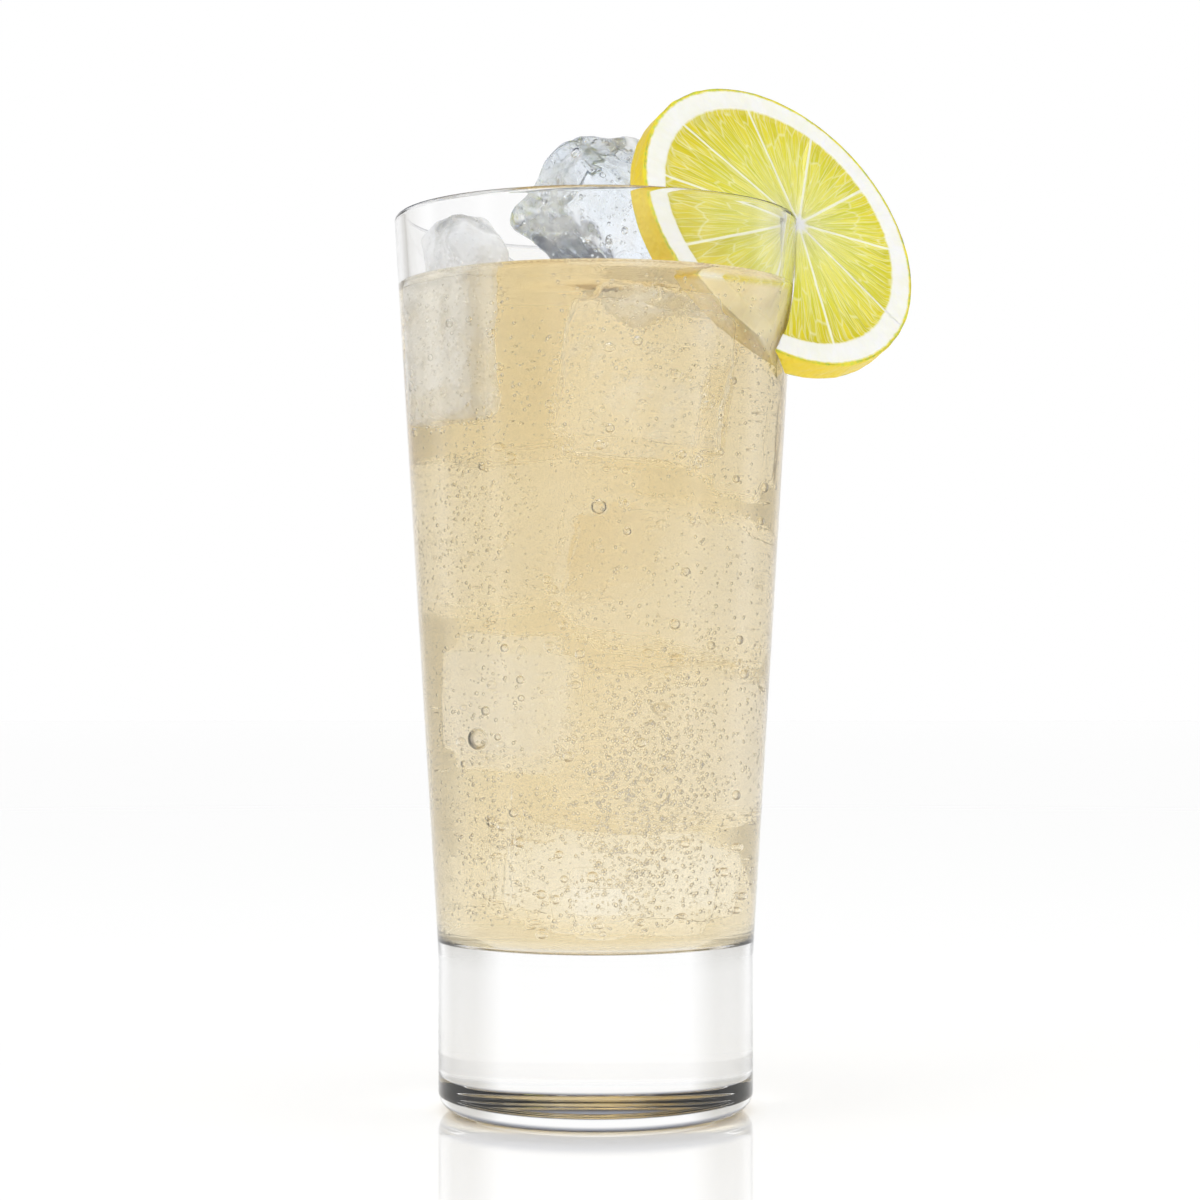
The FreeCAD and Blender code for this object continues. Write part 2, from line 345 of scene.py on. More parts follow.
def melt(mesh, cell, swell, scallop, seed):
    """Remeshes a block into even small faces, and melts its surface uneven and into shallow scallops with
    sharp ridges between them. Returns a new bmesh.
    """
    block = bpy.data.objects.new("melting", mesh)
    bpy.context.scene.collection.objects.link(block)
    remesh = block.modifiers.new("even", "REMESH")
    remesh.mode = "VOXEL"
    remesh.voxel_size = cell
    smooth = block.modifiers.new("soft", "SMOOTH")
    smooth.iterations = 6
    smooth.factor = 0.5
    depsgraph = bpy.context.evaluated_depsgraph_get()
    form = bmesh.new()
    form.from_object(block, depsgraph)
    bpy.data.objects.remove(block)
    form.normal_update()
    shift = Vector((seed * 3.7, seed * 1.9, seed * 5.3))
    moves = []
    for vertex in form.verts:
        place = vertex.co / MM
        wide = noise.noise(place * wide_wave + shift)
        fine = noise.noise(place * fine_wave - shift)
        bowl = noise.voronoi(place * scallop_wave + shift)[0][0]
        move = wide * swell + fine * swell * fine_share + (bowl * bowl - scallop_middle) * scallop
        moves.append(vertex.normal * move)
    for vertex, move in zip(form.verts, moves):
        vertex.co += move
    form.normal_update()
    return form


def ice_finish(name, index, frost, bare, tone, depth, cloud):
    """Ice with a refractive index beside what surrounds it, frosted in patches where a noise passes the bare
    share, and inside it a tone of a given density and a cloud of trapped air.
    """
    finish, make = new_finish(name)
    place = make("ShaderNodeTexCoord").outputs["Object"]
    patches = make("ShaderNodeTexNoise", Vector=place, Scale=70.0, Detail=3.0, Roughness=0.65)
    grains = make("ShaderNodeTexVoronoi", {"feature": "F1"}, Vector=place, Scale=900.0)
    dents = make("ShaderNodeTexNoise", Vector=place, Scale=160.0, Detail=2.0)
    speck = ramp(make, grains.outputs["Distance"], ((0.18, 1.0), (0.42, 0.0)))
    where = ramp(make, patches.outputs["Fac"], ((bare, 0.0), (bare + 0.2, 1.0)))
    rise = sums(make, "MULTIPLY", speck, where)
    height = sums(make, "MULTIPLY_ADD", rise, 0.8, dents.outputs["Fac"])
    relief = make("ShaderNodeBump", Height=height, Strength=0.5, Distance=0.0003).outputs[0]
    clear = make("ShaderNodeBsdfGlass", Color=plain_white, IOR=index, Roughness=0.02, Normal=relief)
    white = make("ShaderNodeBsdfDiffuse", Color=(0.97, 0.98, 1.0, 1.0), Normal=relief)
    amount = sums(make, "MULTIPLY", where, frost)
    body = make("ShaderNodeMixShader", i0=amount, i1=clear.outputs[0], i2=white.outputs[0])
    tint = make("ShaderNodeVolumeAbsorption", Color=(*tone, 1.0), Density=depth)
    air = make("ShaderNodeVolumeScatter", Color=plain_white, Density=cloud, Anisotropy=0.5)
    inside = make("ShaderNodeAddShader", i0=tint.outputs[0], i1=air.outputs[0])
    make("ShaderNodeOutputMaterial", Surface=body.outputs[0], Volume=inside.outputs[0])
    return finish


# For each finish: its index, frost, bare share, tone, the tone's density and the cloud.
blue_tone = (0.62, 0.80, 1.0)
clear_air = ice_finish("clear_ice_in_air", 1.31, 0.4, 0.46, blue_tone, 12.0, 3.0)
clear_wet = ice_finish("clear_ice_in_drink", 0.98, 0.3, 0.46, blue_tone, 3.0, 8.0)
white_air = ice_finish("white_ice_in_air", 1.31, 0.6, 0.30, blue_tone, 5.0, 60.0)
white_wet = ice_finish("white_ice_in_drink", 0.97, 0.7, 0.36, blue_tone, 4.0, 160.0)
finishes = {
    "top_ice": (clear_air, white_wet),
    "left_ice": (white_air, white_wet),
    "back_ice": (clear_air, clear_wet),
}
at_surface = (0.0, 0.0, level)
standing_ice = []
for seed, node in enumerate(("top_ice", "left_ice", "back_ice"), start=1):
    form = melt(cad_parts[node].data.copy(), standing_cell, standing_swell, standing_scallop, seed)
    everything = form.verts[:] + form.edges[:] + form.faces[:]
    bmesh.ops.bisect_plane(form, geom=everything, dist=hair, plane_co=at_surface, plane_no=(0.0, 0.0, 1.0))
    for face in form.faces:
        face.material_index = 1 if face.calc_center_median().z < level else 0
        face.smooth = True
    mesh = bpy.data.meshes.new(node)
    form.to_mesh(mesh)
    form.free()
    in_air, in_drink = finishes[node]
    piece = add_piece(node + "_lump", mesh, in_air, "ice", node)
    mesh.materials.append(in_drink)
    standing_ice.append(piece)


# ---------------------------------------------------------------------------------------------
# The ice sunk in the drink. The same lumps from a tray, stacked down to the floor of the tumbler. They
# bend light almost as the drink does, so that they show by their frost, their cloud and their colour.

sunk_edge = 3.2
sunk_cell = 0.8 * MM
sunk_swell = 0.8 * MM
sunk_scallop = 0.9 * MM
wall_clearance = 0.5 * MM
dye_tone = (0.84, 0.69, 0.26)
dye_depth = 25.0


def sunk_lump(name, size, middle, turns, finish, seed):
    """A melted block below the surface: size, middle and turns about X, Y and Z in mm and degrees."""
    form = bmesh.new()
    bmesh.ops.create_cube(form, size=1.0)
    roll, pitch, yaw = (math.radians(turn) for turn in turns)
    spin = Matrix.Rotation(yaw, 4, "Z") @ Matrix.Rotation(pitch, 4, "Y") @ Matrix.Rotation(roll, 4, "X")
    bmesh.ops.transform(form, matrix=Matrix.Diagonal((*size, 1.0)), verts=form.verts)
    bmesh.ops.bevel(form, geom=form.edges[:], offset=sunk_edge, segments=4, affect="EDGES")
    bmesh.ops.transform(form, matrix=Matrix.Translation(middle) @ spin, verts=form.verts)
    bmesh.ops.transform(form, matrix=Matrix.Scale(MM, 4), verts=form.verts)
    mesh = bpy.data.meshes.new(name)
    form.to_mesh(mesh)
    form.free()
    form = melt(mesh, sunk_cell, sunk_swell, sunk_scallop, seed)
    for vertex in form.verts:
        reach = math.hypot(vertex.co.x, vertex.co.y)
        most = inner_radius(vertex.co.z) - wall_clearance
        if reach > most:
            vertex.co.x *= most / reach
            vertex.co.y *= most / reach
    form.normal_update()
    for face in form.faces:
        face.smooth = True
    mesh = bpy.data.meshes.new(name)
    form.to_mesh(mesh)
    form.free()
    return add_piece(name, mesh, finish, "ice")


glittering = ice_finish("glittering_sunk_ice", 0.975, 0.45, 0.50, dye_tone, dye_depth * 0.3, 4.0)
glassy = ice_finish("glassy_sunk_ice", 0.98, 0.0, 0.5, dye_tone, dye_depth * 0.2, 2.0)
hazy = ice_finish("hazy_sunk_ice", 0.99, 0.0, 0.5, dye_tone, dye_depth * 0.5, 30.0)
milky = ice_finish("milky_sunk_ice", 0.99, 0.0, 0.5, dye_tone, dye_depth * 0.05, 60.0)
sunk_ice = [
    sunk_lump("middle_lump", (25.0, 18.0, 29.0), (7.5, -14.5, 126.0), (4.0, 8.0, 5.0), glittering, 11),
    sunk_lump("right_lump", (14.0, 17.0, 24.0), (21.5, -6.0, 118.0), (-6.0, 8.0, 14.0), hazy, 12),
    sunk_lump("wall_lump", (9.0, 9.0, 8.0), (-19.5, -17.5, 110.5), (8.0, 14.0, 30.0), hazy, 18),
    sunk_lump("far_lump", (30.0, 26.0, 26.0), (-10.0, 9.0, 101.0), (10.0, -10.0, 24.0), hazy, 13),
    sunk_lump("heart_lump", (30.0, 30.0, 24.0), (11.0, -3.0, 92.0), (-10.0, 10.0, -14.0), hazy, 19),
    sunk_lump("cream_lump", (21.0, 18.0, 23.0), (-13.0, -11.5, 71.0), (2.0, 3.0, -22.0), milky, 14),
    sunk_lump("waist_lump", (27.0, 32.0, 26.0), (10.5, 2.0, 64.0), (12.0, -8.0, 30.0), hazy, 15),
    sunk_lump("under_lump", (28.0, 26.0, 18.0), (2.0, 6.0, 41.0), (6.0, 4.0, 20.0), glassy, 20),
    sunk_lump("shard_lump", (5.5, 8.0, 24.0), (-12.8, -15.0, 45.0), (3.0, 2.0, -14.0), glassy, 16),
    sunk_lump("floor_lump", (14.5, 9.0, 12.0), (0.5, -15.5, 37.5), (2.0, -3.0, 8.0), glassy, 17),
]


# ---------------------------------------------------------------------------------------------
# The drink. A pale amber liquid, hazy with juice, that wets the wall and creeps a little way up it. It
# reaches just into the wall, so that no air shows between them, and leaves pockets for the ice.

wall_overlap = 0.08 * MM
pocket_gap = 0.03 * MM
creep_height = 0.8 * MM
creep_width = 1.3 * MM
calm_width = 1.5 * MM
surface_spacing = 1.1 * MM
surface_rings = 30
surface_nearest = 0.25 * MM
shortest_loop = 8
ring_growth = 1.25
first_ring_mm = 0.3
seam_reach = 1.3 * MM
edge_height = level + creep_height
fill_line = rounded(
    [(0.0, floor_height - wall_overlap),
     (foot_radius - low_wall + wall_overlap, floor_height + floor_dish - wall_overlap),
     (inner_radius(edge_height) + wall_overlap, edge_height)],
    [floor_corner], line_step)
drink_form = bmesh.new()
drink_form.from_mesh(lathe("fill", fill_line, turn_count))
pocket = drink_form.faces.layers.float.new("pocket")
rim_points = [vertex.co.copy() for vertex in drink_form.verts if abs(vertex.co.z - edge_height) < hair]
rim_points.sort(key=lambda point: math.atan2(point.y, point.x))


def waterline(piece):
    """The loops of points where a lump's surface crosses the level."""
    form = bmesh.new()
    form.from_mesh(piece.data)
    following = {}
    for edge in form.edges:
        if all(abs(vertex.co.z - level) < at_level for vertex in edge.verts):
            for vertex in edge.verts:
                following.setdefault(vertex.index, []).append(edge.other_vert(vertex).index)
    form.verts.ensure_lookup_table()
    loops = []
    while following:
        start = next(iter(following))
        loop = [start]
        spot = start
        while True:
            choices = [index for index in following.pop(spot, []) if index in following]
            if not choices:
                break
            spot = choices[0]
            loop.append(spot)
        if len(loop) > shortest_loop:
            loops.append([form.verts[index].co.copy() for index in loop])
    form.free()
    return loops


def inside(point, loop):
    """Whether a flat point lies inside a closed loop."""
    crossed = False
    for first, second in zip(loop, loop[1:] + loop[:1]):
        if (first.y > point[1]) != (second.y > point[1]):
            if point[0] < first.x + (point[1] - first.y) / (second.y - first.y) * (second.x - first.x):
                crossed = not crossed
    return crossed


loops = [loop for piece in standing_ice for loop in waterline(piece)]
flat = [point.to_2d() for point in rim_points]
edges = [(k, (k + 1) % len(rim_points)) for k in range(len(rim_points))]
for loop in loops:
    start = len(flat)
    flat += [point.to_2d() for point in loop]
    edges += [(start + k, start + (k + 1) % len(loop)) for k in range(len(loop))]
open_radius = rim_points[0].to_2d().length
fixed = list(flat)
for number in range(1, surface_rings):
    ring = open_radius - first_ring_mm * number ** ring_growth * MM
    count = int(2 * math.pi * ring / surface_spacing)
    for k in range(count):
        turn = 2 * math.pi * (k + number % 2 / 2) / count
        spot = Vector((ring * math.cos(turn), ring * math.sin(turn)))
        if any(inside(spot, loop) for loop in loops):
            continue
        if min((spot - other).length for other in fixed) > surface_nearest:
            flat.append(spot)
points, _, triangles, _, _, _ = delaunay_2d_cdt(flat, edges, [], 1, 1e-9)
top = []
for point in points:
    depth = open_radius - point.length
    creep = creep_height * math.exp(-max(0.0, depth) / creep_width)
    near = min([(point - edge.to_2d()).length for loop in loops for edge in loop], default=1.0)
    creep *= min(1.0, near / calm_width)
    top.append(drink_form.verts.new((point.x, point.y, level + creep)))
for triangle in triangles:
    middle = sum((points[index] for index in triangle), Vector((0.0, 0.0))) / 3
    if any(inside(middle, loop) for loop in loops):
        continue
    face = drink_form.faces.new([top[index] for index in triangle])
    face.smooth = True
for piece in standing_ice + sunk_ice:
    hollow = bmesh.new()
    hollow.from_mesh(piece.data)
    hollow.normal_update()
    corners = {}
    for face in hollow.faces:
        if face.calc_center_median().z > level:
            continue
        ring = []
        for vertex in reversed(face.verts):
            if vertex.index not in corners:
                gap = 0.0 if abs(vertex.co.z - level) < at_level else pocket_gap
                corners[vertex.index] = drink_form.verts.new(vertex.co + vertex.normal * gap)
            ring.append(corners[vertex.index])
        copy = drink_form.faces.new(ring)
        copy.smooth = True
        copy[pocket] = 1.0
    hollow.free()
seam = [vertex for vertex in drink_form.verts if abs(vertex.co.z - level) < seam_reach]
bmesh.ops.remove_doubles(drink_form, verts=seam, dist=2e-6)
loose = [vertex for vertex in drink_form.verts if not vertex.link_faces]
bmesh.ops.delete(drink_form, geom=loose, context="VERTS")
drink_mesh = bpy.data.meshes.new("drink_fill")
drink_form.to_mesh(drink_mesh)
drink_form.free()
drink_finish, make = new_finish("amber_drink")
place = make("ShaderNodeTexCoord").outputs["Object"]
film = make("ShaderNodeTexVoronoi", {"feature": "SMOOTH_F1"}, Vector=place, Scale=1500.0, Smoothness=0.4)
crowds = make("ShaderNodeTexNoise", Vector=place, Scale=36.0, Detail=3.0)
crowded = ramp(make, crowds.outputs["Fac"], ((0.50, 0.0), (0.66, 1.0)))
dimples = sums(make, "MULTIPLY", film.outputs["Distance"], crowded)
relief = make("ShaderNodeBump", Height=dimples, Strength=0.25, Distance=0.0002)
liquid = make("ShaderNodeBsdfGlass", Color=plain_white, IOR=1.34, Roughness=0.0, Normal=relief.outputs[0])
hole = make("ShaderNodeBsdfTransparent", Color=plain_white)
in_pocket = make("ShaderNodeAttribute", {"attribute_name": "pocket"}).outputs["Fac"]
skin = make("ShaderNodeMixShader", i0=in_pocket, i1=liquid.outputs[0], i2=hole.outputs[0])
tint = make("ShaderNodeVolumeAbsorption", Color=(*dye_tone, 1.0), Density=dye_depth)
haze = make("ShaderNodeVolumeScatter", Color=plain_white, Density=4.0, Anisotropy=0.7)
inside_drink = make("ShaderNodeAddShader", i0=tint.outputs[0], i1=haze.outputs[0])
make("ShaderNodeOutputMaterial", Surface=skin.outputs[0], Volume=inside_drink.outputs[0])
add_piece("drink_fill", drink_mesh, drink_finish, "drink", "drink")


# ---------------------------------------------------------------------------------------------
# The bubbles. Gas of the soda clings to the wall and the ice as specks, some of it grown larger or rising
# in strings, and the ice froze round specks and frosted pearls of air.

seeded = random.Random(7)
speck_count = 7500
wall_film = 0.12 * MM
floor_margin = 5.0 * MM
level_margin = 1.5 * MM
crowd_across = 2.2
crowd_up = 0.05
crowded_turn = -72.0
crowded_width = 26.0
crowded_height = 57.0
crowded_rise = 19.0
lump_most = 420
lump_points = 12
lump_margin = 2.0 * MM
grown_every = 22
grown_from = 0.45 * MM
trapped_tries = 900
trapped_every = 30
pearl_count = 26
pearl_room = ((-30.0, -14.0), (-20.0, 0.0), (119.0, 141.0))


def ball(detail):
    """The points and faces of a ball of radius 1."""
    form = bmesh.new()
    bmesh.ops.create_icosphere(form, subdivisions=detail, radius=1.0)
    points = [vertex.co.copy() for vertex in form.verts]
    faces = [[vertex.index for vertex in face.verts] for face in form.faces]
    form.free()
    return points, faces


def bubble_mesh(name, bubbles, detail):
    """One mesh of many bubbles, each given as a middle and a radius."""
    ball_points, ball_faces = ball(detail)
    points = []
    faces = []
    for middle, radius in bubbles:
        start = len(points)
        points += [middle + point * radius for point in ball_points]
        faces += [[start + index for index in face] for face in ball_faces]
    mesh = bpy.data.meshes.new(name)
    mesh.from_pydata(points, [], faces)
    mesh.shade_smooth()
    return mesh


def on_wall(turn, height, radius):
    """The middle of a bubble that clings to the inside of the wall, at a turn in degrees."""
    reach = inner_radius(height) - radius - wall_film
    return Vector((reach * math.cos(math.radians(turn)), reach * math.sin(math.radians(turn)), height))


def bubble_finish(name, index):
    """A smooth hole of air, with its refractive index beside what surrounds it."""
    finish, make = new_finish(name)
    wobble = make("ShaderNodeTexNoise", Vector=make("ShaderNodeTexCoord").outputs["Object"], Scale=900.0)
    relief = make("ShaderNodeBump", Height=wobble.outputs["Fac"], Strength=0.1, Distance=0.0001)
    skin = make("ShaderNodeBsdfGlass", Color=plain_white, IOR=index, Roughness=0.0, Normal=relief.outputs[0])
    make("ShaderNodeOutputMaterial", Surface=skin.outputs[0])
    return finish


fizz_finish = bubble_finish("fizz", 0.746)
specks = []
while len(specks) < speck_count:
    turn = seeded.uniform(-180.0, 180.0)
    height = seeded.uniform(floor_height + floor_margin, level - level_margin)
    east = math.cos(math.radians(turn)) * crowd_across
    north = math.sin(math.radians(turn)) * crowd_across
    crowd = 0.5 + 0.9 * noise.noise(Vector((east, north, height / MM * crowd_up)))
    beside = (turn - crowded_turn) / crowded_width
    above = (height / MM - crowded_height) / crowded_rise
    patch = math.exp(-beside ** 2 - above ** 2)
    if seeded.random() < 0.07 + 0.35 * crowd * crowd + 0.9 * patch:
        radius = (0.13 + 0.24 * seeded.random() ** 1.8 + 0.12 * patch) * MM
        specks.append((on_wall(turn, height, radius), radius))
add_piece("wall_fizz", bubble_mesh("wall_fizz", specks, 1), fizz_finish, "drink")
clinging = []
grown = []
for lump in sunk_ice + standing_ice:
    below = [vertex for vertex in lump.data.vertices if vertex.co.z < level - lump_margin]
    for number in range(min(lump_most, len(below) // lump_points)):
        vertex = seeded.choice(below)
        radius = (0.12 + 0.30 * seeded.random() ** 3) * MM
        if number % grown_every == 0:
            radius = seeded.uniform(0.5, 0.95) * MM
        spot = vertex.co + vertex.normal * (radius + wall_film)
        if math.hypot(spot.x, spot.y) < inner_radius(spot.z) - radius - 0.1 * MM:
            (grown if radius > grown_from else clinging).append((spot, radius))
add_piece("ice_fizz", bubble_mesh("ice_fizz", clinging, 1), fizz_finish, "drink")
largest_on_wall = (
    (-137.0, 64.8, 1.9), (-89.0, 103.0, 1.35), (-131.0, 69.5, 0.8), (-143.0, 60.5, 0.6),
    (-80.0, 99.0, 0.7), (20.0, 90.0, 1.1), (75.0, 70.0, 1.4), (140.0, 112.0, 1.2),
)
for turn, height, radius in largest_on_wall:
    grown.append((on_wall(turn, height * MM, radius * MM), radius * MM))
strings = (((1.5, 43.0), (-8.0, 33.5)), ((3.0, 42.5), (9.0, 35.5)))
string_steps = 12
for start, stop in strings:
    for number in range(string_steps + 1):
        share = number / string_steps
        height = (start[1] + share * (stop[1] - start[1]) + seeded.uniform(-0.3, 0.3)) * MM
        along = (start[0] + share * (stop[0] - start[0]) + seeded.uniform(-0.3, 0.3)) * MM
        radius = seeded.uniform(0.14, 0.38) * MM
        turn = -90.0 + math.degrees(math.asin(along / inner_radius(height)))
        grown.append((on_wall(turn, height, radius), radius))
add_piece("grown_fizz", bubble_mesh("grown_fizz", grown, 3), fizz_finish, "drink")
trapped = []
for lump in standing_ice:
    low = Vector([min(vertex.co[axis] for vertex in lump.data.vertices) for axis in range(3)])
    high = Vector([max(vertex.co[axis] for vertex in lump.data.vertices) for axis in range(3)])
    tree = BVHTree.FromPolygons([vertex.co for vertex in lump.data.vertices],
                                [face.vertices for face in lump.data.polygons])
    for number in range(trapped_tries):
        spot = Vector([seeded.uniform(low[axis], high[axis]) for axis in range(3)])
        radius = (0.10 + 0.22 * seeded.random() ** 2) * MM
        if number % trapped_every == 0:
            radius = seeded.uniform(0.4, 0.9) * MM
        near, normal, _, gap = tree.find_nearest(spot)
        if (near - spot).dot(normal) > 0 and gap > radius + 0.15 * MM:
            trapped.append((spot, radius))
add_piece("trapped_air", bubble_mesh("trapped_air", trapped, 2), bubble_finish("air_in_ice", 0.763), "ice")
pearls = []
tree = BVHTree.FromPolygons([vertex.co for vertex in standing_ice[1].data.vertices],
                            [face.vertices for face in standing_ice[1].data.polygons])
while len(pearls) < pearl_count:
    radius = seeded.uniform(0.5, 1.25) * MM
    spot = Vector([seeded.uniform(low, high) for low, high in pearl_room]) * MM
    near, normal, _, gap = tree.find_nearest(spot)
    apart = min([(spot - other).length - radius - size for other, size in pearls], default=1.0)
    if (near - spot).dot(normal) > 0 and radius + 0.1 * MM < gap < radius + 1.2 * MM and apart > 0.1 * MM:
        pearls.append((spot, radius))
pearl_finish, make = new_finish("frosted_air")
place = make("ShaderNodeTexCoord").outputs["Object"]
rime = make("ShaderNodeTexNoise", Vector=place, Scale=1200.0, Detail=2.0).outputs["Fac"]
relief = make("ShaderNodeBump", Height=rime, Strength=0.4, Distance=0.0001).outputs[0]
shell = make("ShaderNodeBsdfGlass", Color=plain_white, IOR=0.763, Roughness=0.05, Normal=relief)
snow = make("ShaderNodeBsdfDiffuse", Color=(0.99, 0.99, 1.0, 1.0), Normal=relief)
coat = ramp(make, rime, ((0.35, 0.35), (0.65, 0.85)))
frosted = make("ShaderNodeMixShader", i0=coat, i1=shell.outputs[0], i2=snow.outputs[0])
make("ShaderNodeOutputMaterial", Surface=frosted.outputs[0])
add_piece("frosted_bubbles", bubble_mesh("frosted_bubbles", pearls, 3), pearl_finish, "ice")


# ---------------------------------------------------------------------------------------------
# The lemon wheel. One fresh slice across the fruit, slit to its core and pushed onto the rim: waxed
# yellow rind, white pith, and wet flesh in ten segments between thin skins.

wheel_radius = 28.7 * MM
wheel_thick = 4.6 * MM
pith_width = 4.5 * MM
edge_round = 0.3 * MM
rind_lump = 0.22 * MM
rind_inset = 0.2 * MM
core_along = 1.6 * MM
core_across = 3.9 * MM
core_start = 1.2 * MM
core_stop = 3.0 * MM
flesh_sink = 0.45 * MM
flesh_slope = 0.9 * MM
sac_rise = 0.24 * MM
pith_rise = 0.08 * MM
skin_width = 0.55 * MM
skin_slope = 0.8 * MM
soak_width = 1.0 * MM
skin_turns = (9.0, 50.0, 86.0, 122.0, 157.0, 196.0, 225.0, 254.0, 290.0, 327.0)
slit_clearance = 0.3 * MM
slit_depth = 25.0 * MM
slit_count = 480
flesh_radius = wheel_radius - pith_width
perch_inset = 3.9 * MM
perch_back = 1.8 * MM
perch_drop = 1.9 * MM
wheel_pitch = math.radians(50.9)
wheel_roll = math.radians(47.4)
perch = Matrix.Translation((rim_radius - perch_inset, perch_back, glass_height - perch_drop))
wheel_place = perch @ Matrix.Rotation(wheel_pitch, 4, "Y") @ Matrix.Rotation(wheel_roll, 4, "X")
column_turn = 0.85
flesh_rows = 50
rind_rows = 9
side_steps = 16
arc_steps = 4


def reach_from_core(turn, radius):
    """How far it is from the core to a circle about the wheel's middle, along a turn in degrees."""
    along = core_along * math.cos(math.radians(turn)) + core_across * math.sin(math.radians(turn))
    square = core_along ** 2 + core_across ** 2
    return -along + math.sqrt(along ** 2 - square + radius ** 2)


def smooth_step(low, high, value):
    """Rises softly from 0 at low to 1 at high."""
    share = min(1.0, max(0.0, (value - low) / (high - low)))
    return share * share * (3.0 - 2.0 * share)


def skin_gap(turn, reach):
    """The distance to the nearest skin between two segments."""
    gaps = [abs((turn - skin + 180.0) % 360.0 - 180.0) for skin in skin_turns]
    return reach * math.sin(math.radians(min(min(gaps), 90.0)))


def wheel_spot(turn, reach):
    """The flat place on the wheel at a turn and reach from its core."""
    x = core_along + reach * math.cos(math.radians(turn))
    y = core_across + reach * math.sin(math.radians(turn))
    return x, y


def face_height(turn, reach, side):
    """How high the cut face stands, at a turn and reach from the core, on the front or back."""
    x, y = wheel_spot(turn, reach)
    outer = math.hypot(x, y)
    edge = smooth_step(0.0, flesh_slope, flesh_radius - outer)
    skin = smooth_step(0.3 * skin_width, 0.3 * skin_width + skin_slope, skin_gap(turn, reach))
    core = smooth_step(core_start, core_stop, reach)
    sacs = noise.noise(Vector((reach / MM * 0.16, turn * 0.30, 5.0 * side)))
    sacs += 0.6 * noise.noise(Vector((reach / MM * 0.34, turn * 0.62, 9.0 * side)))
    flesh = edge * skin * core
    pith = pith_rise * noise.noise(Vector((x, y, 0.0)) / MM * 0.35)
    return wheel_thick / 2 - flesh * (flesh_sink - sac_rise * sacs) + pith * (1.0 - flesh)


columns = []
for skin, after in zip(skin_turns, skin_turns[1:] + (skin_turns[0] + 360.0,)):
    steps = round((after - skin) / column_turn)
    columns += [skin + (after - skin) * step / steps for step in range(steps)]
wheel_form = bmesh.new()


def face_row(reaches, side):
    """A row of points round a cut face, with one reach from the core for each column."""
    row = []
    for turn, reach in zip(columns, reaches):
        x, y = wheel_spot(turn, reach)
        row.append(wheel_form.verts.new((x, y, side * face_height(turn, reach, side))))
    return row


flesh_reaches = [reach_from_core(turn, flesh_radius) for turn in columns]
edge_reaches = [reach_from_core(turn, wheel_radius - edge_round) for turn in columns]
cut_faces = []
for side in (1, -1):
    rows = []
    for step in range(1, flesh_rows + 1):
        share = (step / flesh_rows) ** 0.85
        rows.append(face_row([share * reach for reach in flesh_reaches], side))
    for step in range(1, rind_rows + 1):
        share = step / rind_rows
        reaches = [inner + share * (outer - inner) for inner, outer in zip(flesh_reaches, edge_reaches)]
        rows.append(face_row(reaches, side))
    cut_faces.append(rows)
half = wheel_thick / 2
last_arc = side_steps - arc_steps
side_rows = []
for step in range(1, side_steps):
    if step <= arc_steps:
        angle = math.radians(90.0 - 90.0 * step / arc_steps)
        radius = wheel_radius - edge_round + edge_round * math.cos(angle)
        z = half - edge_round + edge_round * math.sin(angle)
    elif step >= last_arc:
        angle = math.radians(-90.0 * (step - last_arc) / arc_steps)
        radius = wheel_radius - edge_round + edge_round * math.cos(angle)
        z = -half + edge_round + edge_round * math.sin(angle)
    else:
        radius = wheel_radius
        z = half - edge_round - (wheel_thick - 2 * edge_round) * (step - arc_steps) / (last_arc - arc_steps)
    row = []
    for turn in columns:
        x, y = wheel_spot(turn, reach_from_core(turn, wheel_radius))
        out = Vector((x, y, 0.0)).normalized()
        lump = rind_lump * noise.noise(Vector((out.x * 9.0, out.y * 9.0, z / MM * 0.5)))
        row.append(wheel_form.verts.new(out * (radius + lump - rind_inset) + Vector((0.0, 0.0, z))))
    side_rows.append(row)
all_rows = cut_faces[0] + side_rows + list(reversed(cut_faces[1]))
for row, after in zip(all_rows, all_rows[1:]):
    for k in range(len(row)):
        follow = (k + 1) % len(row)
        wheel_form.faces.new((row[k], after[k], after[follow], row[follow]))
for row, z in ((all_rows[0], half), (all_rows[-1], -half)):
    middle = wheel_form.verts.new((core_along, core_across, z))
    for k in range(len(row)):
        wheel_form.faces.new((row[k], row[(k + 1) % len(row)], middle))
bmesh.ops.recalc_face_normals(wheel_form, faces=wheel_form.faces[:])
bmesh.ops.transform(wheel_form, matrix=wheel_place, verts=wheel_form.verts)
wheel_mesh = bpy.data.meshes.new("lemon_wheel_cut")
wheel_form.to_mesh(wheel_mesh)
wheel_form.free()
slit_low = level - slit_depth
slit_line = [
    (inner_radius(slit_low) - slit_clearance, slit_low),
    (outer_radius(slit_low) + slit_clearance, slit_low),
    (rim_radius + slit_clearance, glass_height + slit_clearance),
    (rim_radius - rim_wall - slit_clearance, glass_height + slit_clearance),
]
slit_turns = [math.radians(k * 360.0 / slit_count) for k in range(slit_count)]
slit_ring = bmesh.new()
slit_loops = []
for radius, height in slit_line:
    circle = [(radius * math.cos(turn), radius * math.sin(turn), height) for turn in slit_turns]
    slit_loops.append([slit_ring.verts.new(spot) for spot in circle])
for loop, after in zip(slit_loops, slit_loops[1:] + slit_loops[:1]):
    for k in range(slit_count):
        follow = (k + 1) % slit_count
        slit_ring.faces.new((loop[k], loop[follow], after[follow], after[k]))
bmesh.ops.recalc_face_normals(slit_ring, faces=slit_ring.faces[:])
slit_mesh = bpy.data.meshes.new("slit")
slit_ring.to_mesh(slit_mesh)
slit_ring.free()
knife = bpy.data.objects.new("slit", slit_mesh)
slice_object = bpy.data.objects.new("slice", wheel_mesh)
bpy.context.scene.collection.objects.link(knife)
